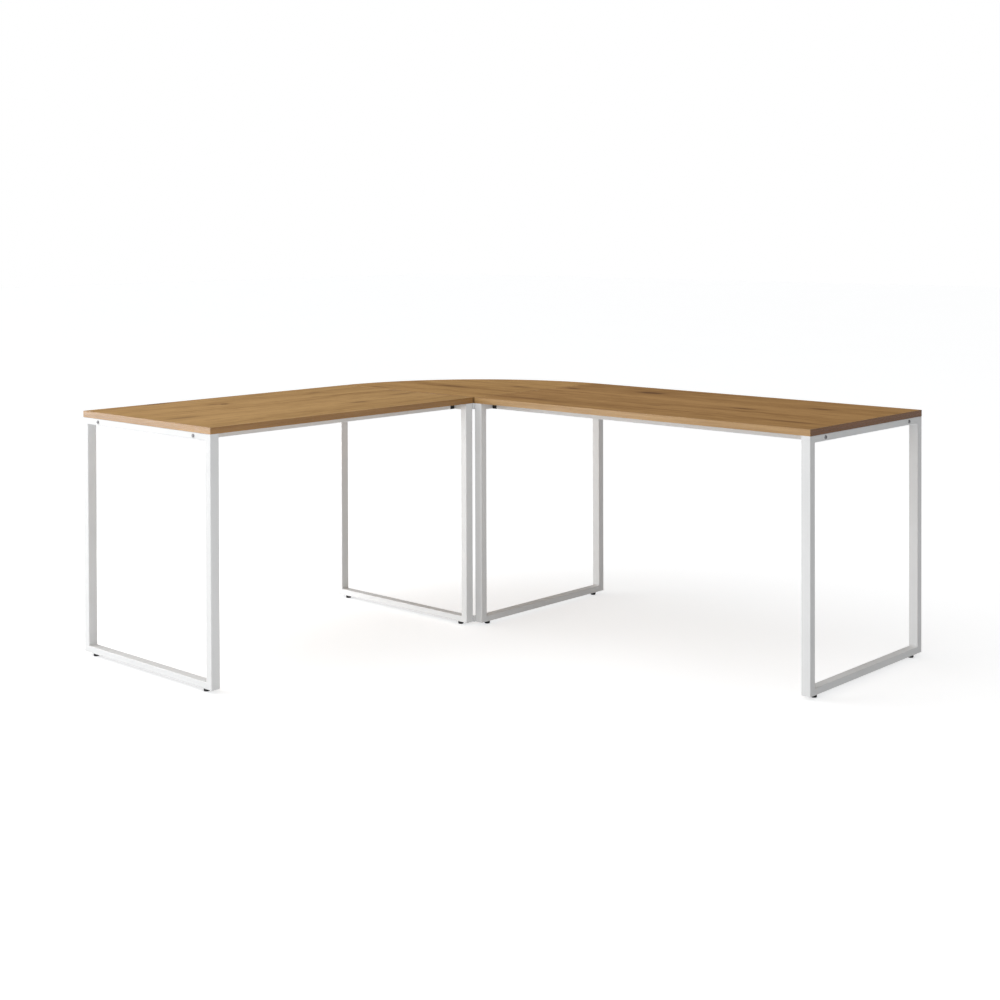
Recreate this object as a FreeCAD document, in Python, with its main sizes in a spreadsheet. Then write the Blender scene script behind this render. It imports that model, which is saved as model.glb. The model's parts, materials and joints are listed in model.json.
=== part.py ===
import math
import os

import FreeCAD
import Part
import Sketcher
from FreeCAD import Placement, Rotation, Vector

# L-shaped corner desk, in millimetres.  +Z is up and the floor is Z = 0.  The origin is on the
# floor, in the middle of the desk's outer box, bolt heads included.  The right wing runs along +X
# and the left wing along -Y from the inner corner; a quarter-round top fills the corner behind
# them.
#
# Positions on a wing are given as "along", the distance from the inner corner towards the wing's
# free end, and "across", the distance from the wing's front edge towards its back edge.

SIZES = (
    ("desk_height", 754, "floor to top face"),
    ("wing_depth", 640, "front edge to back edge of both wings"),
    ("left_reach", 1075, "inner corner to the free end of the left wing"),
    ("right_reach", 1285, "inner corner to the free end of the right wing"),
    ("corner_offset", 5, "inner corner to the start of each wing"),
    ("seam_gap", 0.6, "joint between the corner top and a wing top"),
    ("tip_cut", 5, "length cut off each side at the tip of the corner top"),
    ("board_thick", 19, "thickness of the tops"),
    ("band_thick", 1, "thickness of the edge banding"),
    ("tube_wide", 30, "frame tube, size along the wing"),
    ("tube_thin", 20, "height of a frame's top and bottom tubes"),
    ("leg_thin", 25, "leg, size across the wing"),
    ("tube_wall", 1.5, "wall of all tubes"),
    ("tube_round", 2, "outer corner radius of all tubes"),
    ("rail_wide", 50, "width of the flat rails"),
    ("rail_thin", 20, "height of the flat rails"),
    ("rail_inset", 80, "board edge to the middle of a rail"),
    ("plug_collar", 18, "visible length of a rail's end plug"),
    ("plug_boss", 14, "length of the plug inside the rail"),
    ("plug_play", 0.25, "gap between the plug's boss and the rail"),
    ("bolt_radius", 3, "shank of the frame bolts"),
    ("bolt_head_radius", 5.5, "head of the frame bolts"),
    ("bolt_head_height", 3.3, "height of the frame bolts' heads"),
    ("bolt_length", 55, "shank length of the frame bolts"),
    ("bolt_socket", 2, "half the width across the frame bolts' hex socket"),
    ("screw_radius", 2, "shank of the board screws"),
    ("screw_head_radius", 4.5, "head of the board screws"),
    ("screw_head_height", 2.4, "height of the board screws' heads"),
    ("screw_bite", 13, "depth of the board screws in a board"),
    ("screw_step", 60, "end of a rail or corner support to its first board screw"),
    ("screw_socket", 1.4, "half the width across the board screws' drive"),
    ("hole_play", 0.2, "radial gap round bolts and screws"),
    ("plate_thick", 3, "thickness of the joining brackets"),
    ("bracket_arm", 45, "arm of a joining bracket"),
    ("bracket_screw", 30, "inner corner to a bracket's screws"),
    ("plate_screw_length", 9, "length of the screws into the frames"),
    ("angle_thick", 2, "thickness of the corner supports"),
    ("angle_leaf", 30, "width of a corner support's flat leaf"),
    ("angle_start", 95, "inner corner to the start of a corner support"),
    ("angle_length", 450, "length of a corner support"),
    ("leaf_screw", 18, "inner frame to the screws in the corner top"),
    ("side_screw", 110, "end of a corner support to its first side screw"),
    ("foot_height", 10, "height of a foot's base"),
    ("foot_radius", 9, "radius of a foot's base"),
    ("foot_round", 1, "chamfer of a foot's base"),
    ("foot_inset", 42, "board edge to the middle of a foot"),
    ("stud_radius", 4, "radius of a foot's stud"),
    ("stud_length", 18, "length of a foot's stud above its base"),
    ("stud_seat", 2, "depth of a stud in its foot's base"),
    ("stud_point", 1, "chamfer at the top of a stud"),
    ("stud_play", 0.5, "radial gap between a stud and the hole in its tube"),
    ("nut_radius", 6.5, "outside of a foot's nut"),
    ("nut_height", 7, "height of a foot's nut"),
    ("nut_play", 0.06, "radial gap between stud and nut"),
    ("overcut", 1, "distance that a cutting tool reaches past the material"),
)

# Shape of a button head and of a shank's point, as fractions of the head or the shank.
HEAD_FLAT_RADIUS = 0.55
HEAD_SHOULDER_RADIUS = 0.86
HEAD_SHOULDER_HEIGHT = 0.72
HEAD_RIM_HEIGHT = 0.25
SOCKET_DEPTH = 0.6
POINT_RADIUS = 0.45

QUARTER_TURN = math.pi / 2
PARALLEL = 0.999  # cosine above which an edge counts as running along an axis


class Measure:
    """A size with its number and with the sheet expression that gives it."""

    def __init__(self, number, text):
        self.number = number
        self.text = text

    def join(self, sign, other, number):
        return Measure(number, "(%s %s %s)" % (self.text, sign, measure(other).text))

    def __add__(self, other):
        return self.join("+", other, self.number + measure(other).number)

    def __sub__(self, other):
        return self.join("-", other, self.number - measure(other).number)

    def __mul__(self, other):
        return self.join("*", other, self.number * measure(other).number)

    def __truediv__(self, other):
        return self.join("/", other, self.number / measure(other).number)

    def __neg__(self):
        return Measure(-self.number, "(-1 * %s)" % self.text)


def measure(value):
    return value if isinstance(value, Measure) else Measure(float(value), "%.6g" % value)


def size(alias):
    return Measure(float(sheet.get(alias)), "Sizes." + alias)


def make_sheet(document):
    page = document.addObject("Spreadsheet::Sheet", "Sizes")
    for row, (alias, number, meaning) in enumerate(SIZES, start=1):
        page.set("A%d" % row, alias)
        page.set("B%d" % row, str(number))
        page.set("C%d" % row, meaning)
        page.setAlias("B%d" % row, alias)
    document.recompute()
    return page


doc = FreeCAD.newDocument("CornerDesk")
sheet = make_sheet(doc)

ZERO = measure(0)
HEIGHT = size("desk_height")
DEPTH = size("wing_depth")
OFFSET = size("corner_offset")
SEAM = size("seam_gap")
BOARD = size("board_thick")
BAND = size("band_thick")
WIDE = size("tube_wide")
THIN = size("tube_thin")
LEG_THIN = size("leg_thin")
WALL = size("tube_wall")
RAIL_WIDE = size("rail_wide")
RAIL_THIN = size("rail_thin")
INSET = size("rail_inset")
COLLAR = size("plug_collar")
FOOT = size("foot_height")
OVER = size("overcut")
SCREW_HOLE = size("screw_radius") + size("hole_play")
BOLT_HOLE = size("bolt_radius") + size("hole_play")
UNDER_TOP = HEIGHT - BOARD
TUBE_MIDDLE = UNDER_TOP - THIN / 2
REACH = {"left": size("left_reach"), "right": size("right_reach")}
HEAD = size("bolt_head_height")
CORNER_X = (DEPTH - REACH["right"] - HEAD) / 2
CORNER_Y = (REACH["left"] + HEAD - DEPTH) / 2
UP = Vector(0, 0, 1)
WING_TURN = {"left": Rotation(UP, 90), "right": Rotation()}
ALONG_WING = {"left": Vector(0, -1, 0), "right": Vector(1, 0, 0)}
WINGS = ("left", "right")
FRAMES = ("inner", "outer")

parts = []


def bind(item, **values):
    """Ties properties of a document object to sheet expressions."""
    for name, value in values.items():
        item.setExpression(name, measure(value).text)
    return item


def put(item, x, y, z, rotation=Rotation()):
    """Places an object at a bound position."""
    item.Placement = Placement(Vector(), rotation)
    for axis, value in (("x", x), ("y", y), ("z", z)):
        item.setExpression("Placement.Base." + axis, measure(value).text)
    return item


def on_wing(wing, along, across):
    """X and Y of a point given along and across a wing."""
    if wing == "right":
        return CORNER_X + along, CORNER_Y + across
    return CORNER_X - across, CORNER_Y - along


def frame_start(wing, place):
    """Along of a frame's face that is nearer to the inner corner."""
    return OFFSET if place == "inner" else REACH[wing] - WIDE


def keep(item, label):
    """Marks an object as a sub-part under the name of its file."""
    item.Label = label
    parts.append(item)
    return item


def primitive(kind, name, **values):
    return bind(doc.addObject("Part::" + kind, name), **values)


def cut(name, base, tools):
    """Takes tools away from a base object."""
    tool = tools[0]
    if len(tools) > 1:
        tool = doc.addObject("Part::MultiFuse", name + "_tools")
        tool.Shapes = tools
    result = doc.addObject("Part::Cut", name)
    result.Base = base
    result.Tool = tool
    return result


def group(name, members):
    """Keeps several separate solids together as one sub-part."""
    result = doc.addObject("Part::Compound", name + "_group")
    result.Links = members
    return keep(result, name)


def wing_box(name, wing, along, across, low, length, depth, height):
    """A box on a wing: start and size along, across and upwards."""
    x, y = on_wing(wing, along, across)
    if wing == "left":
        x, y = x - depth, y - length
        length, depth = depth, length
    block = primitive("Box", name, Length=length, Width=depth, Height=height)
    return put(block, x, y, low)


def rod(name, x, y, z, radius, length, direction=UP):
    bar = primitive("Cylinder", name, Radius=radius, Height=length)
    return put(bar, x, y, z, Rotation(UP, direction))


def new_sketch(body, name, role):
    """A sketch on one of a body's own origin planes."""
    sketch = body.newObject("Sketcher::SketchObject", name)
    plane = [item for item in body.Origin.OriginFeatures if item.Role == role][0]
    sketch.AttachmentSupport = [(plane, "")]
    sketch.MapMode = "FlatFace"
    return sketch


def pin_point(sketch, line, end, x, y):
    """Fixes a sketch point at bound distances from the sketch's origin."""
    for kind, value in (("DistanceX", x), ("DistanceY", y)):
        value = measure(value)
        index = sketch.addConstraint(Sketcher.Constraint(kind, -1, 1, line, end, value.number))
        sketch.setExpression("Constraints[%d]" % index, value.text)


def outline(sketch, points):
    """A closed outline of straight lines through bound points."""
    corners = [Vector(measure(x).number, measure(y).number, 0) for x, y in points]
    count = len(points)
    lines = [
        sketch.addGeometry(Part.LineSegment(corners[i], corners[(i + 1) % count]), False)
        for i in range(count)
    ]
    for line, following in zip(lines, lines[1:] + lines[:1]):
        sketch.addConstraint(Sketcher.Constraint("Coincident", line, 2, following, 1))
    for line, (x, y) in zip(lines, points):
        pin_point(sketch, line, 1, x, y)


def pad(body, name, sketch, length):
    feature = body.newObject("PartDesign::Pad", name)
    feature.Profile = sketch
    bind(feature, Length=length)
    body.Tip = feature
    return feature


def turned_body(name, points, drive=None):
    """A solid of revolution about Z, with a hexagonal drive of the given half width below."""
    body = doc.addObject("PartDesign::Body", name)
    sketch = new_sketch(body, name + "_profile", "XZ_Plane")
    outline(sketch, points)
    spin = body.newObject("PartDesign::Revolution", name + "_turn")
    spin.Profile = sketch
    spin.ReferenceAxis = (sketch, ["V_Axis"])
    spin.Angle = 360
    body.Tip = spin
    if drive is not None:
        half, bottom, depth = drive
        hexagon = new_sketch(body, name + "_drive", "XY_Plane")
        side = half * 2 / math.sqrt(3)
        outline(hexagon, (
            (side, ZERO),
            (side / 2, half),
            (-side / 2, half),
            (-side, ZERO),
            (-side / 2, -half),
            (side / 2, -half),
        ))
        hexagon.AttachmentOffset = Placement(Vector(0, 0, bottom.number), Rotation())
        hexagon.setExpression("AttachmentOffset.Base.z", bottom.text)
        pocket = body.newObject("PartDesign::Pocket", name + "_socket")
        pocket.Profile = hexagon
        pocket.Reversed = True
        bind(pocket, Length=depth)
        body.Tip = pocket
    return body


def headed(name, alias, length, x, y, z, direction):
    """A bolt or screw: head below its seat, shank pointing along the direction."""
    shank = size(alias + "_radius")
    radius = size(alias + "_head_radius")
    height = size(alias + "_head_height")
    body = turned_body(name, (
        (ZERO, -height),
        (radius * HEAD_FLAT_RADIUS, -height),
        (radius * HEAD_SHOULDER_RADIUS, height * -HEAD_SHOULDER_HEIGHT),
        (radius, height * -HEAD_RIM_HEIGHT),
        (radius, ZERO),
        (shank, ZERO),
        (shank, length - shank),
        (shank * POINT_RADIUS, length),
        (ZERO, length),
    ), drive=(size(alias + "_socket"), -height, height * SOCKET_DEPTH))
    return put(body, x, y, z, Rotation(UP, direction))


# ---------------------------------------------------------------- tops and edge banding


def wing_screw_places(wing):
    """Along and across of the screws that hold a wing's top to its two rails."""
    first = OFFSET + WIDE + COLLAR + size("screw_step")
    last = REACH[wing] - WIDE - COLLAR - size("screw_step")
    middle = (first + last) / 2
    rails = (INSET, DEPTH - INSET)
    return [(along, across) for along in (first, middle, last) for across in rails]


def pilot_holes(name, points):
    """Tools for the holes that board screws at the given X and Y need in a top."""
    return [
        rod("%s_pilot_%d" % (name, i), x, y, UNDER_TOP, SCREW_HOLE, size("screw_bite") + OVER)
        for i, (x, y) in enumerate(points)
    ]


def wing_top(wing):
    """A rectangular top with pilot holes for its screws, and its four edge bands."""
    name = wing + "_desktop"
    length = REACH[wing] - OFFSET
    core = wing_box(name + "_core", wing, OFFSET + BAND, BAND, UNDER_TOP,
                    length - BAND * 2, DEPTH - BAND * 2, BOARD)
    points = [on_wing(wing, along, across) for along, across in wing_screw_places(wing)]
    keep(cut(name + "_board", core, pilot_holes(name, points)), name)
    between = DEPTH - BAND * 2
    bands = [
        wing_box(name + "_front_band", wing, OFFSET, ZERO, UNDER_TOP, length, BAND, BOARD),
        wing_box(name + "_back_band", wing, OFFSET, DEPTH - BAND, UNDER_TOP, length, BAND, BOARD),
        wing_box(name + "_near_band", wing, OFFSET, BAND, UNDER_TOP, BAND, between, BOARD),
        wing_box(name + "_far_band", wing, REACH[wing] - BAND, BAND, UNDER_TOP, BAND, between, BOARD),
    ]
    group(name + "_edge_bands", bands)


def sector_sketch(body, name, inset, radius):
    """A quarter disc with its tip cut off, its straight sides moved in by the inset."""
    sketch = new_sketch(body, name, "XY_Plane")
    tip = size("tip_cut")
    near = inset.number
    far = radius.number
    cut_off = tip.number
    corners = [
        Vector(-far, near, 0),
        Vector(-cut_off, near, 0),
        Vector(-near, cut_off, 0),
        Vector(-near, far, 0),
    ]
    side_a, flat, side_b = [
        sketch.addGeometry(Part.LineSegment(start, end), False)
        for start, end in zip(corners, corners[1:])
    ]
    ring = Part.Circle(Vector(0, 0, 0), UP, far)
    arc = sketch.addGeometry(Part.ArcOfCircle(ring, QUARTER_TURN, 2 * QUARTER_TURN), False)
    for first, first_end, second, second_end in (
        (side_a, 2, flat, 1),
        (flat, 2, side_b, 1),
        (side_b, 2, arc, 1),
        (arc, 2, side_a, 1),
        (arc, 3, -1, 1),
    ):
        sketch.addConstraint(Sketcher.Constraint("Coincident", first, first_end, second, second_end))
    sketch.addConstraint(Sketcher.Constraint("Horizontal", side_a))
    sketch.addConstraint(Sketcher.Constraint("Vertical", side_b))
    pin_point(sketch, flat, 1, -tip, inset)
    pin_point(sketch, flat, 2, -inset, tip)
    datum = sketch.addConstraint(Sketcher.Constraint("Radius", arc, far))
    sketch.setExpression("Constraints[%d]" % datum, radius.text)
    return sketch


def corner_screw_places(wing):
    """X and Y of the screws that hold the corner top to one wing's support."""
    first = size("angle_start") + size("screw_step")
    last = size("angle_start") + size("angle_length") - size("screw_step")
    return [on_wing(wing, OFFSET - size("leaf_screw"), across) for across in (first, last)]


def corner_top():
    """The quarter-round top with its pilot holes, and its straight and curved edge bands."""
    name = "corner_desktop"
    x = CORNER_X + OFFSET - SEAM
    y = CORNER_Y - OFFSET + SEAM
    radius = DEPTH + OFFSET - SEAM
    core = doc.addObject("PartDesign::Body", name + "_core")
    pad(core, name + "_pad", sector_sketch(core, name + "_outline", BAND, radius - BAND), BOARD)
    put(core, x, y, UNDER_TOP)
    points = corner_screw_places("left") + corner_screw_places("right")
    keep(cut(name + "_board", core, pilot_holes(name, points)), name)

    outer = primitive("Cylinder", name + "_band_outer", Radius=radius, Height=BOARD, Angle=90)
    inner = primitive("Cylinder", name + "_band_inner", Radius=radius - BAND, Height=BOARD, Angle=90)
    for disc in (outer, inner):
        put(disc, x, y, UNDER_TOP, Rotation(UP, 90))
    side = radius - size("tip_cut") - BAND
    straight_x = primitive("Box", name + "_band_x", Length=side, Width=BAND, Height=BOARD)
    put(straight_x, x - radius + BAND, y, UNDER_TOP)
    straight_y = primitive("Box", name + "_band_y", Length=BAND, Width=side, Height=BOARD)
    put(straight_y, x - BAND, y + size("tip_cut"), UNDER_TOP)
    trimmed = []
    for strip in (straight_x, straight_y):
        limit = primitive("Cylinder", strip.Name + "_limit", Radius=radius - BAND, Height=BOARD)
        put(limit, x, y, UNDER_TOP)
        piece = doc.addObject("Part::Common", strip.Name + "_trimmed")
        piece.Base = strip
        piece.Tool = limit
        trimmed.append(piece)
    group(name + "_edge_bands", [cut(name + "_band_arc", outer, [inner])] + trimmed)


# ---------------------------------------------------------------- steel tubes


def mitred(name, thin, mate, length, inset):
    """Solid bar along Z with mitred ends, its long side facing -Y.

    The mate is the thickness of the tubes that it meets.  The inset moves all four long faces
    inwards; the end faces stay in the mitre planes.
    """
    half_wide = WIDE / 2 - inset
    half_thin = thin / 2 - inset
    near = mate * inset / thin
    far = mate - near
    return primitive(
        "Wedge", name,
        Xmin=-half_wide, Xmax=half_wide,
        X2min=-half_wide, X2max=half_wide,
        Ymin=-half_thin, Ymax=half_thin,
        Zmin=near, Zmax=length - near,
        Z2min=far, Z2max=length - far,
    )


def round_long_edges(name, bar, axis):
    """Rounds the edges of a bar that run along the axis."""
    doc.recompute()
    radius = size("tube_round").number
    edges = []
    for index, edge in enumerate(bar.Shape.Edges, start=1):
        if abs(edge.tangentAt(edge.FirstParameter).dot(axis)) > PARALLEL:
            edges.append((index, radius, radius))
    rounded = doc.addObject("Part::Fillet", name)
    rounded.Base = bar
    rounded.Edges = edges
    return rounded


def frame_tube_tools(name, wing, place, role):
    """Tools for a frame tube's bolt, screw and foot holes, in the tube's own frame."""
    half = WIDE / 2 + OVER
    tools = []
    if role == "top_tube":
        for i, spot in enumerate((INSET, DEPTH - INSET)):
            tools.append(rod("%s_bolt_hole_%d" % (name, i), -half, ZERO, spot,
                             BOLT_HOLE, half * 2, Vector(1, 0, 0)))
    screw_spots = []
    if place == "inner" and role == "top_tube":
        screw_spots = [size("bracket_screw")] + support_screw_places()
    if place == "inner" and role == "bottom_tube":
        screw_spots = [DEPTH - size("bracket_screw")]
    corner_side = Vector(1, 0, 0) if wing == "left" else Vector(-1, 0, 0)
    for i, spot in enumerate(screw_spots):
        tools.append(rod("%s_screw_hole_%d" % (name, i), ZERO, ZERO, spot,
                         SCREW_HOLE, half, corner_side))
    if role == "bottom_tube":
        for i, spot in enumerate((size("foot_inset"), DEPTH - size("foot_inset"))):
            tools.append(rod("%s_foot_hole_%d" % (name, i), ZERO, ZERO, spot,
                             size("stud_radius") + size("stud_play"), THIN / 2 + OVER,
                             Vector(0, -1, 0)))
    return tools


def frame_tube(wing, place, role):
    """One tube of a closed rectangular frame, with the holes that it needs."""
    name = "%s_%s_frame_%s" % (wing, place, role)
    if role.endswith("leg"):
        thin, mate, length = LEG_THIN, THIN, UNDER_TOP - FOOT
    else:
        thin, mate, length = THIN, LEG_THIN, DEPTH
    bar = mitred(name + "_bar", thin, mate, length, ZERO)
    solid = round_long_edges(name + "_outside", bar, UP)
    hollow = mitred(name + "_inside", thin, mate, length, WALL)
    tools = [hollow] + frame_tube_tools(name, wing, place, role)
    tube = keep(cut(name + "_tube", solid, tools), name)
    turns = {
        "front_leg": (Rotation(), LEG_THIN / 2, FOOT),
        "back_leg": (Rotation(UP, 180), DEPTH - LEG_THIN / 2, FOOT),
        "top_tube": (Rotation(Vector(1, 0, 0), -90), ZERO, UNDER_TOP - THIN / 2),
        "bottom_tube": (Rotation(Vector(1, 0, 0), 90), DEPTH, FOOT + THIN / 2),
    }
    turn, across, low = turns[role]
    x, y = on_wing(wing, frame_start(wing, place) + WIDE / 2, across)
    put(tube, x, y, low, WING_TURN[wing].multiply(turn))


def rail(wing, side, across):
    """A flat tube between the two frames of a wing, under its top."""
    name = "%s_wing_%s_rail" % (wing, side)
    start = OFFSET + WIDE + COLLAR
    length = REACH[wing] - WIDE - COLLAR - start
    low = UNDER_TOP - RAIL_THIN
    bar = wing_box(name + "_bar", wing, start, across - RAIL_WIDE / 2, low,
                   length, RAIL_WIDE, RAIL_THIN)
    solid = round_long_edges(name + "_outside", bar, ALONG_WING[wing])
    tools = [wing_box(name + "_inside", wing, start - OVER, across - RAIL_WIDE / 2 + WALL, low + WALL,
                      length + OVER * 2, RAIL_WIDE - WALL * 2, RAIL_THIN - WALL * 2)]
    for i, (along, place) in enumerate(wing_screw_places(wing)):
        if place.text == across.text:
            x, y = on_wing(wing, along, place)
            tools.append(rod("%s_hole_%d" % (name, i), x, y, low - OVER,
                             SCREW_HOLE, RAIL_THIN + OVER * 2))
    keep(cut(name + "_tube", solid, tools), name)


def rail_plug(name, wing, place, across):
    """A moulded plug in a rail's end: a collar against the frame and a boss in the rail."""
    boss_length = size("plug_boss")
    gap = WALL + size("plug_play")
    if place == "inner":
        start = OFFSET + WIDE
        boss_start = start + COLLAR
    else:
        start = REACH[wing] - WIDE - COLLAR
        boss_start = start - boss_length
    low = UNDER_TOP - RAIL_THIN
    collar = wing_box(name + "_collar", wing, start, across - RAIL_WIDE / 2, low,
                      COLLAR, RAIL_WIDE, RAIL_THIN)
    boss = wing_box(name + "_boss", wing, boss_start, across - RAIL_WIDE / 2 + gap, low + gap,
                    boss_length, RAIL_WIDE - gap * 2, RAIL_THIN - gap * 2)
    body = doc.addObject("Part::Fuse", name + "_body")
    body.Base = collar
    body.Tool = boss
    x, y = on_wing(wing, start - boss_length - OVER, across)
    bore = rod(name + "_bore", x, y, TUBE_MIDDLE,
               BOLT_HOLE, COLLAR + (boss_length + OVER) * 2, ALONG_WING[wing])
    return cut(name, body, [bore])


def rail_plugs(wing):
    """The plugs in the four rail ends of a wing."""
    group(wing + "_wing_rail_plugs", [
        rail_plug("%s_%s_%s_plug" % (wing, place, side), wing, place, across)
        for place in FRAMES
        for side, across in (("front", INSET), ("back", DEPTH - INSET))
    ])


# ---------------------------------------------------------------- joining pieces


def support_screw_places():
    """Across of the screws that hold a corner support to its frame."""
    start = size("angle_start")
    length = size("angle_length")
    return [start + size("side_screw"), start + length / 2, start + length - size("side_screw")]


def corner_support(wing):
    """A steel angle on the inner frame's corner side; the corner top rests on its flat leaf."""
    name = wing + "_corner_support"
    thick = size("angle_thick")
    leaf = size("angle_leaf")
    start = size("angle_start")
    length = size("angle_length")
    upright = wing_box(name + "_upright", wing, OFFSET - thick, start, UNDER_TOP - THIN,
                       thick, length, THIN)
    flat = wing_box(name + "_flat", wing, OFFSET - leaf, start, UNDER_TOP - thick,
                    leaf, length, thick)
    body = doc.addObject("Part::Fuse", name + "_angle")
    body.Base = upright
    body.Tool = flat
    body.Refine = True
    through = thick + OVER * 2
    tools = []
    for i, across in enumerate(support_screw_places()):
        x, y = on_wing(wing, OFFSET - thick - OVER, across)
        tools.append(rod("%s_side_hole_%d" % (name, i), x, y, TUBE_MIDDLE,
                         SCREW_HOLE, through, ALONG_WING[wing]))
    for i, (x, y) in enumerate(corner_screw_places(wing)):
        tools.append(rod("%s_top_hole_%d" % (name, i), x, y, UNDER_TOP - thick - OVER,
                         SCREW_HOLE, through))
    keep(cut(name + "_part", body, tools), name)


def joining_bracket(place, low):
    """An angle that ties the two inner frames together, its heel towards the user."""
    name = place + "_joining_bracket"
    body = doc.addObject("PartDesign::Body", name + "_body")
    sketch = new_sketch(body, name + "_outline", "XY_Plane")
    arm = size("bracket_arm")
    thick = size("plate_thick")
    outline(sketch, (
        (ZERO, ZERO),
        (ZERO, arm),
        (-thick, arm),
        (-thick, thick),
        (-arm, thick),
        (-arm, ZERO),
    ))
    pad(body, name + "_pad", sketch, THIN)
    put(body, CORNER_X + OFFSET, CORNER_Y - OFFSET, low)
    tools = []
    for wing in WINGS:
        x, y = on_wing(wing, OFFSET + OVER, size("bracket_screw"))
        tools.append(rod("%s_%s_hole" % (name, wing), x, y, low + THIN / 2,
                         SCREW_HOLE, thick + OVER * 2, ALONG_WING[wing] * -1))
    keep(cut(name + "_part", body, tools), name)


def plate_screws(name, places, seat):
    """Screws whose heads bear on a plate and whose shanks go into an inner frame."""
    members = []
    for i, (wing, across, height) in enumerate(places):
        x, y = on_wing(wing, OFFSET - seat, across)
        members.append(headed("%s_%d" % (name, i), "screw", size("plate_screw_length"),
                              x, y, height, ALONG_WING[wing]))
    group(name, members)


def frame_bolts(wing, place):
    """Two bolts through a frame's top tube into the plugs of the rails."""
    if place == "inner":
        start = OFFSET
        direction = ALONG_WING[wing]
    else:
        start = REACH[wing]
        direction = ALONG_WING[wing] * -1
    members = []
    for i, across in enumerate((INSET, DEPTH - INSET)):
        x, y = on_wing(wing, start, across)
        members.append(headed("%s_%s_bolt_%d" % (wing, place, i), "bolt", size("bolt_length"),
                              x, y, TUBE_MIDDLE, direction))
    group("%s_%s_frame_bolts" % (wing, place), members)


def board_screws(name, points, seat):
    """Screws from below into a top; the seat is how far below the top their heads bear."""
    length = seat + size("screw_bite")
    members = [
        headed("%s_%d" % (name, i), "screw", length, x, y, UNDER_TOP - seat, UP)
        for i, (x, y) in enumerate(points)
    ]
    group(name, members)


# ---------------------------------------------------------------- feet


def foot_spots(wing, place):
    """Side, X and Y of a frame's two feet."""
    along = frame_start(wing, place) + WIDE / 2
    inset = size("foot_inset")
    return (("front", on_wing(wing, along, inset)), ("back", on_wing(wing, along, DEPTH - inset)))


def foot_nuts(wing):
    """Round nuts welded inside the bottom tubes of a wing's two frames."""
    members = []
    low = FOOT + WALL
    for place in FRAMES:
        for side, (x, y) in foot_spots(wing, place):
            name = "%s_%s_%s_nut" % (wing, place, side)
            ring = rod(name + "_ring", x, y, low, size("nut_radius"), size("nut_height"))
            bore = rod(name + "_bore", x, y, low - OVER, size("stud_radius") + size("nut_play"),
                       size("nut_height") + OVER * 2)
            members.append(cut(name, ring, [bore]))
    group(wing + "_wing_foot_nuts", members)


def foot(wing, place, side, x, y):
    """A levelling foot: a moulded base and the threaded stud that turns in the nut."""
    name = "%s_%s_%s_foot" % (wing, place, side)
    radius = size("foot_radius")
    edge = size("foot_round")
    stud = size("stud_radius")
    seat = FOOT - size("stud_seat")
    top = FOOT + size("stud_length")
    base = turned_body(name + "_moulding", (
        (ZERO, ZERO),
        (radius - edge, ZERO),
        (radius, edge),
        (radius, FOOT - edge),
        (radius - edge, FOOT),
        (stud, FOOT),
        (stud, seat),
        (ZERO, seat),
    ))
    put(keep(base, name + "_base"), x, y, ZERO)
    pin = turned_body(name + "_pin", (
        (ZERO, seat),
        (stud, seat),
        (stud, top - size("stud_point")),
        (stud - size("stud_point"), top),
        (ZERO, top),
    ))
    put(keep(pin, name + "_stud"), x, y, ZERO)


# ---------------------------------------------------------------- assembly


def build_wing(wing):
    """Everything that belongs to one wing, its top apart."""
    for place in FRAMES:
        for role in ("front_leg", "back_leg", "top_tube", "bottom_tube"):
            frame_tube(wing, place, role)
    rail(wing, "front", INSET)
    rail(wing, "back", DEPTH - INSET)
    rail_plugs(wing)
    for place in FRAMES:
        frame_bolts(wing, place)
    points = [on_wing(wing, along, across) for along, across in wing_screw_places(wing)]
    board_screws(wing + "_desktop_screws", points, RAIL_THIN)
    corner_support(wing)
    foot_nuts(wing)
    for place in FRAMES:
        for side, (x, y) in foot_spots(wing, place):
            foot(wing, place, side, x, y)


def build():
    """The whole desk."""
    for wing in WINGS:
        wing_top(wing)
    corner_top()
    for wing in WINGS:
        build_wing(wing)
    points = corner_screw_places("left") + corner_screw_places("right")
    board_screws("corner_desktop_screws", points, size("angle_thick"))
    joining_bracket("upper", UNDER_TOP - THIN)
    joining_bracket("lower", FOOT)
    bracket_places = [
        (wing, size("bracket_screw"), height)
        for wing in WINGS
        for height in (TUBE_MIDDLE, FOOT + THIN / 2)
    ]
    plate_screws("joining_bracket_screws", bracket_places, size("plate_thick"))
    support_places = [
        (wing, across, TUBE_MIDDLE) for wing in WINGS for across in support_screw_places()
    ]
    plate_screws("corner_support_screws", support_places, size("angle_thick"))


def check_and_export():
    """Stops on a broken object, then writes one STEP file for each sub-part."""
    doc.recompute()
    for item in doc.Objects:
        if "Invalid" in item.State or "Error" in item.State:
            raise RuntimeError("object failed: " + item.Name)
    for item in parts:
        if item.Shape.isNull() or not item.Shape.isValid():
            raise RuntimeError("sub-part has no valid shape: " + item.Label)
    os.makedirs("parts", exist_ok=True)
    for item in parts:
        item.Shape.exportStep("parts/%s.step" % item.Label)
        print("%-36s %2d solids %12.1f mm3" % (item.Label, len(item.Shape.Solids), item.Shape.Volume))
    print(len(parts), "sub-parts")


build()
check_and_export()
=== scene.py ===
"""Corner desk: materials, small details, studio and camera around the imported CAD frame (metres)."""
import json
import math

import bmesh
import bpy
from mathutils import Matrix, Vector

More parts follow.
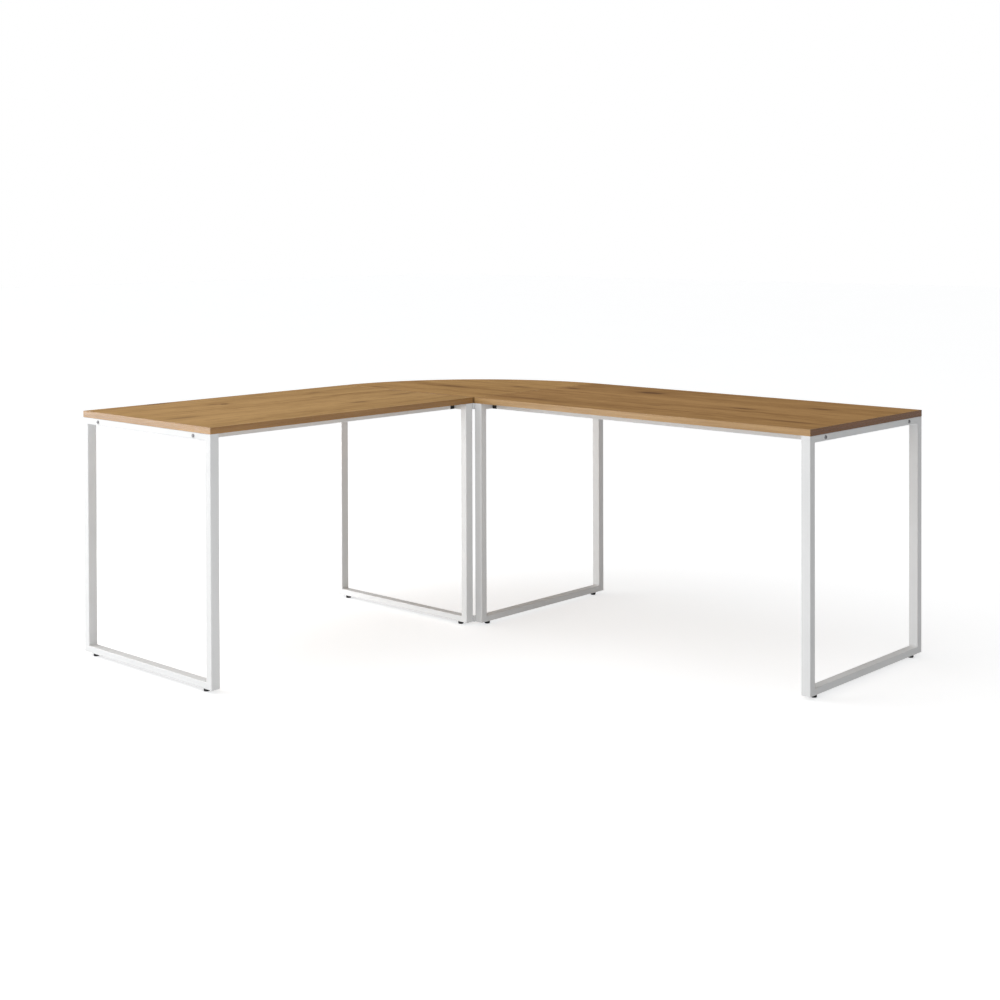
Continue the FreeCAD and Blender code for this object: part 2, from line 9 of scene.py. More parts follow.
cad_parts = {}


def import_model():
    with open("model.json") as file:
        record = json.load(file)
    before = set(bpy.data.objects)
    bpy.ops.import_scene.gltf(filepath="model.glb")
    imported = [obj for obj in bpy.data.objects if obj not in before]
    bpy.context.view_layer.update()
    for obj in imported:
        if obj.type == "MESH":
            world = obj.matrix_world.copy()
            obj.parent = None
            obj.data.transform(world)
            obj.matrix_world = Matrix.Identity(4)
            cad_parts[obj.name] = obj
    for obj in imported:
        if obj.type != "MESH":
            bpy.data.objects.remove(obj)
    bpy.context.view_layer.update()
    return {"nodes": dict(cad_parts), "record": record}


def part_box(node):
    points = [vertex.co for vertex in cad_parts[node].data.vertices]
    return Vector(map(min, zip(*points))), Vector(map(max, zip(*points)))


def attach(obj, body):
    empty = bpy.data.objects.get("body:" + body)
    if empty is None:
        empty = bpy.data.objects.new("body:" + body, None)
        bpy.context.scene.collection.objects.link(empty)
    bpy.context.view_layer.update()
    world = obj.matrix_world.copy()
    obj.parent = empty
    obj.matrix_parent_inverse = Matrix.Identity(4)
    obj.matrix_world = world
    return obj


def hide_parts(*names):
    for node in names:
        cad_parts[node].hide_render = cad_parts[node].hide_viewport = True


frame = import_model()

MM = 0.001
NODES = frame["nodes"]
SLOTS = {part["node"]: part["material_slot"] for part in frame["record"]["subparts"]}

# The inner corner, where the two wings' front edges meet, on the floor.
INNER_CORNER = Vector((
    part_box("left_desktop_edge_bands")[1].x,
    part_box("right_desktop_edge_bands")[0].y,
    0.0,
))
TOP_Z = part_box("right_desktop")[1].z


# ---------------------------------------------------------------- shader graph helper


class Graph:
    """Short names for the shader nodes that the materials below are made of."""

    def __init__(self, name):
        self.material = bpy.data.materials.new(name)
        self.material.use_nodes = True
        self.tree = self.material.node_tree
        self.shader = self.tree.nodes["Principled BSDF"]
        self.position = self.node("ShaderNodeTexCoord").outputs["Object"]

    def node(self, kind, **settings):
        """A new shader node with its settings."""
        item = self.tree.nodes.new(kind)
        for key, value in settings.items():
            setattr(item, key, value)
        return item

    def feed(self, socket, value):
        """Links a socket to another socket, or sets it to a plain value."""
        if isinstance(value, bpy.types.NodeSocket):
            self.tree.links.new(value, socket)
        else:
            socket.default_value = value

    def place(self, vector, scale=(1, 1, 1), turn=0.0, shift=(0, 0, 0)):
        """A scaled, turned and shifted copy of a place."""
        item = self.node("ShaderNodeMapping")
        self.feed(item.inputs["Vector"], vector)
        item.inputs["Scale"].default_value = scale
        item.inputs["Rotation"].default_value = (0, 0, turn)
        item.inputs["Location"].default_value = shift
        return item.outputs["Vector"]

    def noise(self, vector, scale=1.0, detail=4.0, rough=0.55, distortion=0.0):
        """Soft noise from 0 to 1."""
        item = self.node("ShaderNodeTexNoise")
        self.feed(item.inputs["Vector"], vector)
        item.inputs["Scale"].default_value = scale
        item.inputs["Detail"].default_value = detail
        item.inputs["Roughness"].default_value = rough
        item.inputs["Distortion"].default_value = distortion
        return item.outputs["Fac"]

    def cell_colour(self, vector):
        """A random colour for each cell, one cell to a unit of length."""
        item = self.node("ShaderNodeTexVoronoi", feature="F1")
        self.feed(item.inputs["Vector"], vector)
        item.inputs["Scale"].default_value = 1.0
        return item.outputs["Color"]

    def math(self, operation, first, second=0.0, third=0.0):
        """The result of a maths node on up to three values."""
        item = self.node("ShaderNodeMath", operation=operation)
        for socket, value in zip(item.inputs, (first, second, third)):
            self.feed(socket, value)
        return item.outputs[0]

    def span(self, value, low, high, out_low=0.0, out_high=1.0, smooth=True):
        """Maps a range of a value to another range, clamped."""
        item = self.node("ShaderNodeMapRange")
        item.interpolation_type = "SMOOTHSTEP" if smooth else "LINEAR"
        for name, number in (("Value", value), ("From Min", low), ("From Max", high),
                             ("To Min", out_low), ("To Max", out_high)):
            self.feed(item.inputs[name], number)
        return item.outputs["Result"]

    def mix(self, factor, first, second, blend="MIX"):
        """A blend of two colours."""
        item = self.node("ShaderNodeMix", data_type="RGBA", blend_type=blend)
        self.feed(item.inputs["Factor"], factor)
        for name, value in (("A", first), ("B", second)):
            socket = [s for s in item.inputs if s.name == name and s.type == "RGBA"][0]
            self.feed(socket, (*value, 1.0) if isinstance(value, tuple) else value)
        return [s for s in item.outputs if s.type == "RGBA"][0]

    def ramp(self, value, stops):
        """A colour that follows a value through stops of (value, colour)."""
        item = self.node("ShaderNodeValToRGB")
        self.feed(item.inputs["Fac"], value)
        ramp = item.color_ramp
        while len(ramp.elements) < len(stops):
            ramp.elements.new(0.5)
        for element, (at, colour) in zip(ramp.elements, stops):
            element.position = at
            element.color = (*colour, 1.0)
        return item.outputs["Color"]

    def split(self, vector):
        """The three components of a vector or colour."""
        item = self.node("ShaderNodeSeparateXYZ")
        self.feed(item.inputs[0], vector)
        return item.outputs

    def join(self, x, y, z):
        """A vector made of three components."""
        item = self.node("ShaderNodeCombineXYZ")
        for socket, value in zip(item.inputs, (x, y, z)):
            self.feed(socket, value)
        return item.outputs[0]

    def stretched_noise(self, rates, **settings):
        """Noise with its own number of cells per metre along each axis."""
        parts = self.split(self.position)
        scaled = [self.math("MULTIPLY", part, rate) for part, rate in zip(parts, rates)]
        return self.noise(self.join(*scaled), **settings)

    def facing(self, axis):
        """How squarely a face looks along an axis: 0 edge-on, 1 square."""
        normal = self.node("ShaderNodeNewGeometry").outputs["Normal"]
        return self.math("ABSOLUTE", self.split(normal)[axis])

    def bump(self, height, strength, distance):
        """A normal that follows a height."""
        item = self.node("ShaderNodeBump")
        self.feed(item.inputs["Height"], height)
        item.inputs["Strength"].default_value = strength
        item.inputs["Distance"].default_value = distance
        return item.outputs["Normal"]

    def surface(self, **values):
        """Sets the shader's sockets: spaces in a socket's name are written as underscores."""
        for key, value in values.items():
            self.feed(self.shader.inputs[key.replace("_", " ")], value)
        return self.material


# ---------------------------------------------------------------- materials

OAK_LIGHT = (0.400, 0.225, 0.082)
OAK_MIDDLE = (0.318, 0.172, 0.058)
OAK_DARK = (0.208, 0.102, 0.031)
OAK_KNOT = (0.105, 0.048, 0.017)
OAK_PORE = (0.170, 0.088, 0.034)
# The core colours are darker than pale particle board: painted shade for the recessed corner tip, where
# the core shows.
SHADED_CORE_LIGHT = (0.300, 0.185, 0.075)
SHADED_CORE_MIDDLE = (0.200, 0.115, 0.042)
SHADED_CORE_DARK = (0.100, 0.052, 0.018)
BAND_LIGHT = (0.435, 0.236, 0.086)
BAND_DARK = (0.285, 0.144, 0.047)

# Knots of each board: place from the inner corner, half length along the grain,
# half width across it (all in millimetres), and how dark it is.
KNOTS = {
    "left_desktop": (
        (-464, -670, 20, 15, 1.0), (-478, -702, 34, 13, 0.55), (-628, -812, 62, 15, 0.85),
        (-255, -979, 70, 20, 0.45), (-181, -345, 46, 14, 0.65), (-262, -75, 75, 15, 0.50),
        (-520, -240, 30, 12, 0.45),
    ),
    "corner_desktop": (
        (-500, 40, 62, 17, 0.50), (-318, 232, 84, 22, 0.60), (-123, 368, 58, 18, 0.65),
    ),
    "right_desktop": (
        (58, 442, 34, 15, 0.85), (166, 102, 125, 12, 0.50), (356, 501, 70, 30, 0.95),
        (855, 310, 56, 16, 0.75), (1045, 453, 50, 17, 0.75), (1150, 120, 110, 13, 0.60),
        (590, 205, 40, 11, 0.45),
    ),
}


def knot_masks(graph, knots, along_y):
    """Two masks that are one at the knots: a wide halo and the small dark core."""
    halo, core = 0.0, 0.0
    for x, y, half_length, half_width, strength in knots:
        centre = INNER_CORNER + Vector((x, y, 0)) * MM
        reach = (half_width, half_length) if along_y else (half_length, half_width)
        near = graph.place(graph.position, scale=(1 / (reach[0] * MM), 1 / (reach[1] * MM), 0.0),
                           shift=(-centre.x / (reach[0] * MM), -centre.y / (reach[1] * MM), 0.0))
        distance = graph.node("ShaderNodeVectorMath", operation="LENGTH")
        graph.feed(distance.inputs[0], near)
        ring = distance.outputs["Value"]
        halo = graph.math("MAXIMUM", halo, graph.span(ring, 0.2, 3.0, strength, 0.0))
        core = graph.math("MAXIMUM", core, graph.span(ring, 0.3, 1.15, strength, 0.0))
    return halo, core


def oak_colour(graph, along_y, shift, knots):
    """Flat-sawn oak: broad bands, swept grain lines, flecks, pores and knots.

    Returns the colour and a height that is low in the pores.
    """
    turned = graph.place(graph.position, turn=math.radians(90) if along_y else 0.0, shift=shift)
    along, across, depth = graph.split(turned)
    halo, core = knot_masks(graph, knots, along_y)

    sweep = graph.noise(graph.place(turned, scale=(1.1, 3.4, 3.0)), scale=1.0, detail=2.0)
    wander = graph.noise(graph.place(turned, scale=(5.0, 9.0, 5.0)), scale=1.0, detail=2.0)
    bend = graph.math("MULTIPLY_ADD", sweep, 0.090, graph.math("MULTIPLY", halo, 0.020))
    bent = graph.math("ADD", across, graph.math("MULTIPLY_ADD", wander, 0.012, bend))

    def streaks(length_rate, width_rate, depth_rate, **settings):
        """Noise drawn out along the grain: rates in cells per metre."""
        return graph.noise(graph.join(graph.math("MULTIPLY", along, length_rate),
                                      graph.math("MULTIPLY", bent, width_rate),
                                      graph.math("MULTIPLY", depth, depth_rate)), **settings)

    bands = streaks(0.5, 8.0, 1.0, detail=2.0, rough=0.5)
    lines = streaks(1.8, 55.0, 30.0, detail=5.0, rough=0.66, distortion=0.3)
    flecks = streaks(13.0, 46.0, 30.0, detail=4.0, rough=0.62, distortion=0.4)
    fibres = streaks(9.0, 420.0, 200.0, detail=4.0, rough=0.6)
    pores = streaks(46.0, 950.0, 400.0, detail=2.0, rough=0.5)

    tone = graph.math("MULTIPLY_ADD", bands, 0.75, graph.math("MULTIPLY", lines, 0.95))
    tone = graph.math("MULTIPLY_ADD", flecks, 0.62, tone)
    tone = graph.math("MULTIPLY_ADD", fibres, 0.24, tone)
    tone = graph.span(tone, 1.00, 1.56, smooth=False)
    colour = graph.ramp(tone, ((0.0, OAK_DARK), (0.42, OAK_MIDDLE), (0.85, OAK_LIGHT)))

    pore_mask = graph.math("MULTIPLY", graph.span(pores, 0.60, 0.70), graph.span(lines, 0.40, 0.62))
    colour = graph.mix(graph.math("MULTIPLY", pore_mask, 0.45), colour, OAK_PORE)
    ringed = graph.math("MULTIPLY", halo, graph.span(flecks, 0.35, 0.65, 0.25, 0.85))
    colour = graph.mix(graph.math("MULTIPLY", ringed, 0.80), colour, OAK_DARK)
    colour = graph.mix(graph.math("MULTIPLY", core, 0.88), colour, OAK_KNOT)

    height = graph.math("SUBTRACT", graph.math("MULTIPLY", fibres, 0.5), pore_mask)
    return colour, height


def oak_board(node, along_y, shift, tint):
    """Oak-look laminate on the flat faces; on the cut edges particle board, its pale colour darkened as
    painted shade for the recessed corner tip.
    """
    graph = Graph(node + "_oak")
    oak, height = oak_colour(graph, along_y, shift, KNOTS[node])
    # The tint is the board's own tone; on the left top its paler, bluer cast is painted sheen.
    oak = graph.mix(1.0, oak, tint, blend="MULTIPLY")
    crumbs = graph.noise(graph.position, scale=240.0, detail=5.0)
    core = graph.ramp(crumbs, ((0.30, SHADED_CORE_DARK), (0.55, SHADED_CORE_MIDDLE), (0.75, SHADED_CORE_LIGHT)))
    chips = graph.cell_colour(graph.place(graph.position, scale=(420, 420, 760)))
    chip_tint = graph.split(chips)[1]
    core = graph.mix(graph.math("MULTIPLY", chip_tint, 0.35), core, SHADED_CORE_DARK)
    flat = graph.span(graph.facing(2), 0.5, 0.8)
    roughness = graph.span(height, -0.8, 0.5, 0.72, 0.60, smooth=False)
    return graph.surface(
        Base_Color=graph.mix(flat, core, oak),
        Roughness=graph.mix(flat, (0.9, 0.9, 0.9), graph.join(roughness, roughness, roughness)),
        Specular_IOR_Level=0.08,
        Normal=graph.bump(height, 0.25, 0.12 * MM),
    )


def oak_edge_band(name, painted_shade_x, tint_y):
    """Edge banding: fine oak streaks along the edge; the faces across X are darkened as painted shade,
    and those across Y paled and blued as painted sheen.
    """
    graph = Graph(name)
    broad = graph.stretched_noise((3.0, 3.0, 90.0), detail=3.0)
    fine = graph.stretched_noise((22.0, 22.0, 1300.0), detail=4.0, rough=0.65)
    dashes = graph.stretched_noise((120.0, 120.0, 2600.0), detail=2.0)
    streaks = graph.math("MULTIPLY_ADD", broad, 0.65, graph.math("MULTIPLY", fine, 0.5))
    colour = graph.mix(graph.span(streaks, 0.38, 0.78, smooth=False), BAND_DARK, BAND_LIGHT)
    colour = graph.mix(graph.span(dashes, 0.62, 0.72, 0.0, 0.35), colour, OAK_PORE)
    # Painted light on the banding: faces across X darkened as painted shade, faces across Y paled and
    # blued as painted sheen.
    tint = graph.mix(graph.span(graph.facing(0), 0.4, 0.9), tint_y, painted_shade_x)
    colour = graph.mix(1.0, colour, tint, blend="MULTIPLY")
    return graph.surface(
        Base_Color=colour,
        Roughness=graph.span(fine, 0.3, 0.7, 0.30, 0.21),
        Specular_IOR_Level=0.55,
        Normal=graph.bump(fine, 0.2, 0.08 * MM),
    )


GRIT_GREY = (0.55, 0.55, 0.55)


def powder_coat(name, colour):
    """Fine-texture powder coat: tiny orange peel, with faint uneven tone."""
    graph = Graph(name)
    cloud = graph.noise(graph.position, scale=7.0, detail=3.0)
    peel = graph.noise(graph.position, scale=900.0, detail=2.0, rough=0.5)
    grit = graph.noise(graph.position, scale=2600.0, detail=1.0)
    low = tuple(channel * 0.965 for channel in colour)
    base = graph.mix(graph.span(cloud, 0.3, 0.7), low, colour)
    base = graph.mix(graph.span(grit, 0.62, 0.78, 0.0, 0.10), base, GRIT_GREY)
    return graph.surface(
        Base_Color=base,
        Roughness=graph.span(peel, 0.35, 0.65, 0.40, 0.52),
        Specular_IOR_Level=0.5,
        Normal=graph.bump(peel, 0.35, 0.06 * MM),
    )


def moulded_plastic(name, colour):
    """Moulded plastic with a fine spark-eroded grain and handling scuffs."""
    graph = Graph(name)
    grain = graph.noise(graph.position, scale=1800.0, detail=3.0)
    scuff = graph.noise(graph.place(graph.position, scale=(60, 60, 240)), detail=5.0, rough=0.7)
    scuffed = tuple(min(1.0, channel * 2.6 + 0.01) for channel in colour)
    return graph.surface(
        Base_Color=graph.mix(graph.span(scuff, 0.58, 0.8, 0.0, 0.5), colour, scuffed),
        Roughness=graph.span(grain, 0.3, 0.7, 0.48, 0.66),
        Specular_IOR_Level=0.25,
        Normal=graph.bump(grain, 0.4, 0.05 * MM),
    )


def turned_steel(name, colour, rough):
    """Plated steel with faint drawing marks and patchy plating."""
    graph = Graph(name)
    patches = graph.noise(graph.position, scale=420.0, detail=4.0, rough=0.65)
    marks = graph.noise(graph.place(graph.position, scale=(260, 260, 4200)), detail=3.0)
    dull = tuple(channel * 0.72 for channel in colour)
    return graph.surface(
        Base_Color=graph.mix(graph.span(patches, 0.35, 0.7), colour, dull),
        Metallic=1.0,
        Roughness=graph.span(marks, 0.3, 0.7, rough, rough + 0.16),
        Normal=graph.bump(marks, 0.25, 0.03 * MM),
    )


# Each top's board: whether its grain runs along Y, where in the figure it is cut from, and its tint: the
# board's own tone, paler and bluer on the left top as painted sheen.
BOARDS = {
    "left_desktop": (True, (0.37, 0.11, 0.0), (1.22, 1.30, 1.42)),
    "right_desktop": (False, (1.92, 0.43, 0.5), (1.10, 1.10, 1.14)),
    "corner_desktop": (False, (5.3, 2.17, 1.3), (1.20, 1.24, 1.28)),
}

# Each top's edge banding: the painted shade on the faces across X, and the painted sheen on those across
# Y.
BAND_PAINTED_LIGHT = {
    "left": ((0.92, 0.90, 0.85), (1.08, 1.13, 1.14)),
    "right": ((0.46, 0.30, 0.08), (1.16, 1.32, 1.58)),
    "corner": ((1.0, 1.0, 1.0), (1.0, 1.0, 1.0)),
}


def make_materials():
    """The material of each slot, or of each node where a slot's nodes differ."""
    return {
        "oak_board": {top: oak_board(top, *values) for top, values in BOARDS.items()},
        "oak_edge_band": {top + "_desktop_edge_bands": oak_edge_band("band_" + top, *painted_light_tints)
                          for top, painted_light_tints in BAND_PAINTED_LIGHT.items()},
        "white_powder_coat": powder_coat("white_powder_coat", (0.748, 0.755, 0.757)),
        "black_plastic": moulded_plastic("black_plastic", (0.016, 0.016, 0.017)),
        "dark_steel": turned_steel("dark_steel", (0.330, 0.330, 0.340), 0.34),
        "zinc_steel": turned_steel("zinc_steel", (0.66, 0.67, 0.68), 0.27),
    }


def dress(item, material):
    """Gives an object one material."""
    item.data.materials.clear()
    item.data.materials.append(material)


def dress_nodes(materials):
    """Gives every CAD node the material of its slot."""
    for name, item in NODES.items():
        material = materials[SLOTS[name]]
        if isinstance(material, dict):
            material = material[name]
        dress(item, material)


SHARP_ANGLE = 50


def soften_edges(item, width, segments=2):
    """Rounds an object's sharp edges a little, so that they catch the light."""
    bevel = item.modifiers.new("edge_softening", "BEVEL")
    bevel.width = width
    bevel.segments = segments
    bevel.limit_method = "ANGLE"
    bevel.angle_limit = math.radians(SHARP_ANGLE)


def soften_nodes():
    """Softens the edges of the banding, the brackets and the moulded parts."""
    for name, item in NODES.items():
        if name.endswith("edge_bands"):
            soften_edges(item, 0.45 * MM, segments=3)
        elif name.endswith(("_support", "_bracket")):
            soften_edges(item, 0.5 * MM)
        elif name.endswith(("_plugs", "_foot_base")):
            soften_edges(item, 0.6 * MM)


materials = make_materials()
dress_nodes(materials)
soften_nodes()


# ---------------------------------------------------------------- small details


def add_piece(name, vertices, faces, material, body):
    """A new mesh object, in the desk's rest position, that moves with a body."""
    mesh = bpy.data.meshes.new(name)
    mesh.from_pydata(vertices, [], faces)
    work = bmesh.new()
    work.from_mesh(mesh)
    bmesh.ops.recalc_face_normals(work, faces=work.faces)
    work.to_mesh(mesh)
    work.free()
    for face in mesh.polygons:
        face.use_smooth = True
    item = bpy.data.objects.new(name, mesh)
    bpy.context.scene.collection.objects.link(item)
    dress(item, material)
    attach(item, body)
    return item


def loft(rings):
    """Vertices and faces of closed rings joined in a row, with a fan at each end."""
    count = len(rings[0])
    vertices = [point for ring in rings for point in ring]
    faces = []
    for row in range(len(rings) - 1):
        for i in range(count):
            j = (i + 1) % count
            base = row * count
            faces.append((base + i, base + j, base + count + j, base + count + i))
    for first in (0, (len(rings) - 1) * count):
        middle = sum((vertices[first + i] for i in range(count)), Vector()) / count
        vertices.append(middle)
        for i in range(count):
            faces.append((first + i, first + (i + 1) % count, len(vertices) - 1))
    return vertices, faces


LIP_HEIGHT = 0.55 * MM
LIP_WIDTH = 1.0 * MM
LIP_SUNK = 0.3 * MM
LIP_STEPS = 40
LIP_END = 0.75  # height at the lip's ends, as a part of LIP_HEIGHT
LIP_TAPER = 12.0  # each end grows to full height in one part in 12 of the length
LIP_FROM_INNER_CORNER = 6.0 * MM
LIP_FROM_OUTER_END = 2.0 * MM


def seam_lip(material):
    """The corner top stands a hair proud of the left top: a rounded lip along that seam."""
    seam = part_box("corner_desktop_edge_bands")[0]
    start = INNER_CORNER.x - LIP_FROM_INNER_CORNER
    end = seam.x + LIP_FROM_OUTER_END
    rings = []
    for step in range(LIP_STEPS + 1):
        part = step / LIP_STEPS
        x = start + (end - start) * part
        ease = min(1.0, LIP_TAPER * part, LIP_TAPER * (1.0 - part))
        top = LIP_HEIGHT * (LIP_END + (1.0 - LIP_END) * ease)
        # The rounded section: place across the lip, as a part of its width, and height.
        profile = ((0.0, -LIP_SUNK), (0.0, top * 0.75), (0.12, top * 0.95), (0.5, top),
                   (0.88, top * 0.7), (1.0, -LIP_SUNK))
        rings.append([Vector((x, seam.y + LIP_WIDTH * across, TOP_Z + height))
                      for across, height in profile])
    vertices, faces = loft(rings)
    add_piece("corner_desktop_seam_lip", vertices, faces, material, "desk")


BEAD_LEG = 3.2 * MM
BEAD_RIPPLES = 13
BEAD_RIPPLE_DEPTH = 0.07
BEAD_STEPS = BEAD_RIPPLES * 4
BEAD_SUNK = 0.4 * MM
BEAD_END = 0.45  # least size of a bead's ends, as a part of BEAD_LEG
BEAD_START = 0.04  # the ends grow along a sine, from this many half turns to half of one
BEAD_TAPER = 6.0  # half turns of that sine in the length of a bead
BEAD_MARGIN = 5.0 * MM  # how much shorter a bead is than the tubes are wide


def weld_bead(corner, inward, upward, along, width):
    """A rippled fillet in a frame's inside corner, running across the tubes' width."""
    rings = []
    for step in range(BEAD_STEPS + 1):
        part = step / BEAD_STEPS
        ripple = 1.0 + BEAD_RIPPLE_DEPTH * math.cos(math.tau * BEAD_RIPPLES * part)
        grown = min(0.5, BEAD_START + BEAD_TAPER * part, BEAD_START + BEAD_TAPER * (1.0 - part))
        ease = math.sin(math.pi * grown)
        leg = BEAD_LEG * ripple * (BEAD_END + (1.0 - BEAD_END) * ease)
        spot = corner + along * (width * (part - 0.5))
        profile = ((-BEAD_SUNK, -BEAD_SUNK), (leg, -BEAD_SUNK), (leg * 0.93, 0.10 * leg),
                   (leg * 0.50, leg * 0.50), (0.10 * leg, leg * 0.93), (-BEAD_SUNK, leg))
        rings.append([spot + inward * a + upward * b for a, b in profile])
    return loft(rings)


def frame_welds(wing, place, material):
    """Weld beads in the four inside corners of one frame."""
    frame_name = "%s_%s_frame" % (wing, place)
    legs = [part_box("%s_%s_leg" % (frame_name, side)) for side in ("front", "back")]
    low_top, high_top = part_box(frame_name + "_top_tube")
    high_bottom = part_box(frame_name + "_bottom_tube")[1]
    axis = 1 if wing == "right" else 0
    across = Vector((axis == 0, axis == 1, 0))
    along = Vector((axis == 1, axis == 0, 0))
    first = min(high[axis] for low, high in legs)
    last = max(low[axis] for low, high in legs)
    width = (high_top - low_top).dot(along) - BEAD_MARGIN
    corners = ((first, across), (last, -across))
    levels = ((high_bottom.z, Vector((0, 0, 1))), (low_top.z, Vector((0, 0, -1))))
    vertices, faces = [], []
    for spot, inward in corners:
        for height, upward in levels:
            corner = (low_top + high_top) / 2
            corner.z = height
            corner[axis] = spot
            new_vertices, new_faces = weld_bead(corner, inward, upward, along, width)
            faces += [tuple(i + len(vertices) for i in face) for face in new_faces]
            vertices += new_vertices
    add_piece(frame_name + "_welds", vertices, faces, material, "desk")


THREAD_PITCH = 1.25 * MM
THREAD_DEPTH = 0.68 * MM
THREAD_SIDES = 24
THREAD_STEPS = 6  # rings in each turn
THREAD_CREST = 1.35  # above 1, the crest is flat
STUD_POINT = 1.0 * MM


def threaded_stud(node, foot, material):
    """An M8 stud with a real helical thread, in place of a plain pin."""
    low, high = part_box(node)
    centre = (low + high) / 2
    radius = (high.x - low.x) / 2
    height = high.z - low.z
    turns = height / THREAD_PITCH
    rings = []
    count = int(turns * THREAD_STEPS)
    for row in range(count + 1):
        part = row / count
        z = low.z + height * part
        to_end = (1.0 - part) * height
        ring = []
        for side in range(THREAD_SIDES):
            angle = math.tau * side / THREAD_SIDES
            phase = (part * turns + side / THREAD_SIDES) % 1.0
            crest = min(1.0, THREAD_CREST * abs(2.0 * phase - 1.0))
            reach = radius - THREAD_DEPTH * (1.0 - crest)
            reach = min(reach, radius - max(0.0, STUD_POINT - to_end))
            ring.append(Vector((centre.x + reach * math.cos(angle),
                                centre.y - reach * math.sin(angle), z)))
        rings.append(ring)
    vertices, faces = loft(rings)
    piece = add_piece(node + "_thread", vertices, faces, material, foot)
    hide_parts(node)


seam_lip(materials["oak_edge_band"]["corner_desktop_edge_bands"])
for wing in ("left", "right"):
    for place in ("inner", "outer"):
        frame_welds(wing, place, materials["white_powder_coat"])
for name in list(NODES):
    if name.endswith("_foot_stud"):
        threaded_stud(name, name.replace("_stud", ""), materials["zinc_steel"])


# ---------------------------------------------------------------- studio


FLOOR_HALF_SIZE = 30.0
FLOOR_DROP = 0.2 * MM  # keeps the floor clear of the feet's soles
FLOOR_TINTS = ((0.61, 0.61, 0.61), (0.63, 0.63, 0.63))
FLOOR_GLOW_ON_DESK = 0.23
FLOOR_GLOW_SEEN = 0.34  # added where the camera looks at the floor
DARKEST_SKY = 0.03


def floor():
    """A white floor that glows a little, as paper lit from all round does."""
    mesh = bpy.data.meshes.new("studio_floor")
    corners = [(x * FLOOR_HALF_SIZE, y * FLOOR_HALF_SIZE, -FLOOR_DROP)
               for x, y in ((-1, -1), (1, -1), (1, 1), (-1, 1))]
    mesh.from_pydata(corners, [], [(0, 1, 2, 3)])
    item = bpy.data.objects.new("studio_floor", mesh)
    bpy.context.scene.collection.objects.link(item)
    graph = Graph("studio_white")
    haze = graph.noise(graph.position, scale=0.8, detail=2.0)
    seen = graph.node("ShaderNodeLightPath").outputs["Is Camera Ray"]
    graph.surface(
        Base_Color=graph.mix(haze, *FLOOR_TINTS),
        Roughness=0.75,
        Specular_IOR_Level=0.2,
        Emission_Color=(0.985, 0.993, 1.0, 1),
        Emission_Strength=graph.math("MULTIPLY_ADD", seen, FLOOR_GLOW_SEEN, FLOOR_GLOW_ON_DESK),
    )
    dress(item, graph.material)


def world(seen, base, lift, towards):
    """White behind the desk; on the desk, soft light that grows towards one direction."""
    scene = bpy.context.scene
    scene.world = bpy.data.worlds.new("studio_world")
    scene.world.use_nodes = True
    tree = scene.world.node_tree
    tree.nodes.clear()
    link = tree.links.new
    direction = tree.nodes.new("ShaderNodeTexCoord").outputs["Generated"]
    dot = tree.nodes.new("ShaderNodeVectorMath")
    dot.operation = "DOT_PRODUCT"
    dot.inputs[1].default_value = Vector(towards).normalized()
    link(direction, dot.inputs[0])
    grow = tree.nodes.new("ShaderNodeMath")
    grow.operation = "MULTIPLY_ADD"
    grow.inputs[1].default_value = lift
    grow.inputs[2].default_value = base
    link(dot.outputs["Value"], grow.inputs[0])
    kept = tree.nodes.new("ShaderNodeMath")
    kept.operation = "MAXIMUM"
    kept.inputs[1].default_value = DARKEST_SKY
    link(grow.outputs[0], kept.inputs[0])
    light = tree.nodes.new("ShaderNodeBackground")
    link(kept.outputs[0], light.inputs["Strength"])
    backdrop = tree.nodes.new("ShaderNodeBackground")
    backdrop.inputs["Strength"].default_value = seen
    for item in (light, backdrop):
        item.inputs["Color"].default_value = (1, 1, 1, 1)
    path = tree.nodes.new("ShaderNodeLightPath")
    both = tree.nodes.new("ShaderNodeMixShader")
    out = tree.nodes.new("ShaderNodeOutputWorld")
    link(path.outputs["Is Camera Ray"], both.inputs[0])
    link(light.outputs[0], both.inputs[1])
    link(backdrop.outputs[0], both.inputs[2])
    link(both.outputs[0], out.inputs["Surface"])


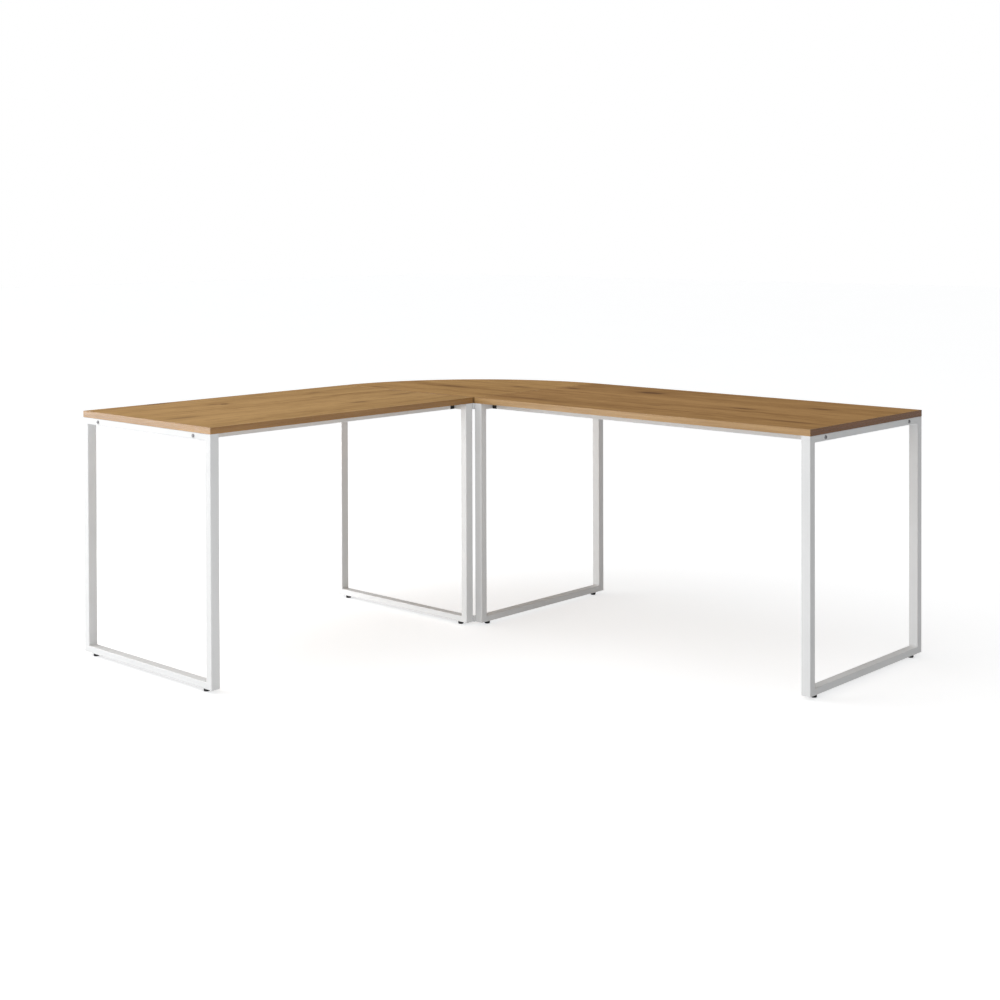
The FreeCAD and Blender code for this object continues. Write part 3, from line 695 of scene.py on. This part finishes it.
def add_light(name, kind, energy, location, target, **settings):
    """A light at a place, turned towards a target."""
    lamp = bpy.data.lights.new(name, kind)
    lamp.energy = energy
    for key, value in settings.items():
        setattr(lamp, key, value)
    item = bpy.data.objects.new(name, lamp)
    item.location = location
    item.rotation_mode = "QUATERNION"
    item.rotation_quaternion = (target - location).to_track_quat("-Z", "Y")
    bpy.context.scene.collection.objects.link(item)


def add_panel(name, energy, location, target, width, height, **settings):
    """A rectangular area light; its place and target are measured from the inner corner."""
    add_light(name, "AREA", energy, INNER_CORNER + Vector(location), INNER_CORNER + Vector(target),
              shape="RECTANGLE", size=width, size_y=height, **settings)


def camera(place, yaw, pitch, roll, focal, shift):
    """A camera at a place, looking along a heading; angles in degrees, anticlockwise from +X."""
    yaw, pitch, roll = (math.radians(angle) for angle in (yaw, pitch, roll))
    forward = Vector((math.cos(pitch) * math.cos(yaw), math.cos(pitch) * math.sin(yaw), math.sin(pitch)))
    right = Vector((math.sin(yaw), -math.cos(yaw), 0.0))
    up = right.cross(forward)
    tilted_right = math.cos(roll) * right + math.sin(roll) * up
    tilted_up = math.cos(roll) * up - math.sin(roll) * right
    data = bpy.data.cameras.new("camera")
    data.lens = focal
    data.shift_y = shift
    item = bpy.data.objects.new("camera", data)
    basis = Matrix((tilted_right, tilted_up, -forward)).transposed()
    item.matrix_world = Matrix.Translation(place) @ basis.to_4x4()
    bpy.context.scene.collection.objects.link(item)
    bpy.context.scene.camera = item


floor()
world(seen=1.0, base=0.35, lift=0.58, towards=(-0.30, -0.80, 0.50))
add_light("sky", "SUN", 0.50, Vector((0, 0, 5)), Vector((0.3, 0.3, 0)), angle=math.radians(75))
add_panel("overhead", 30, (-1.5, -2.0, 3.0), (0.0, 0.0, 0.7), 2.0, 2.0)
add_panel("key", 320, (-7.9, -7.1, 1.0), (0.1, 0.0, 0.4), 4.0, 2.2)
add_panel("fill", 16, (-2.2, -0.9, 0.45), (0.0, 0.0, 0.4), 1.0, 0.8)
add_panel("side", 1.2, (3.0, -1.9, 0.5), (0.0, -0.9, 0.4), 0.8, 0.8, spread=math.radians(42))
bpy.context.scene.view_settings.view_transform = "Standard"
camera(
    place=INNER_CORNER + Vector((3.622, -3.806, 1.309)),
    yaw=132.608,
    pitch=-0.73,
    roll=-0.164,
    focal=57.16,
    shift=-0.25,
)
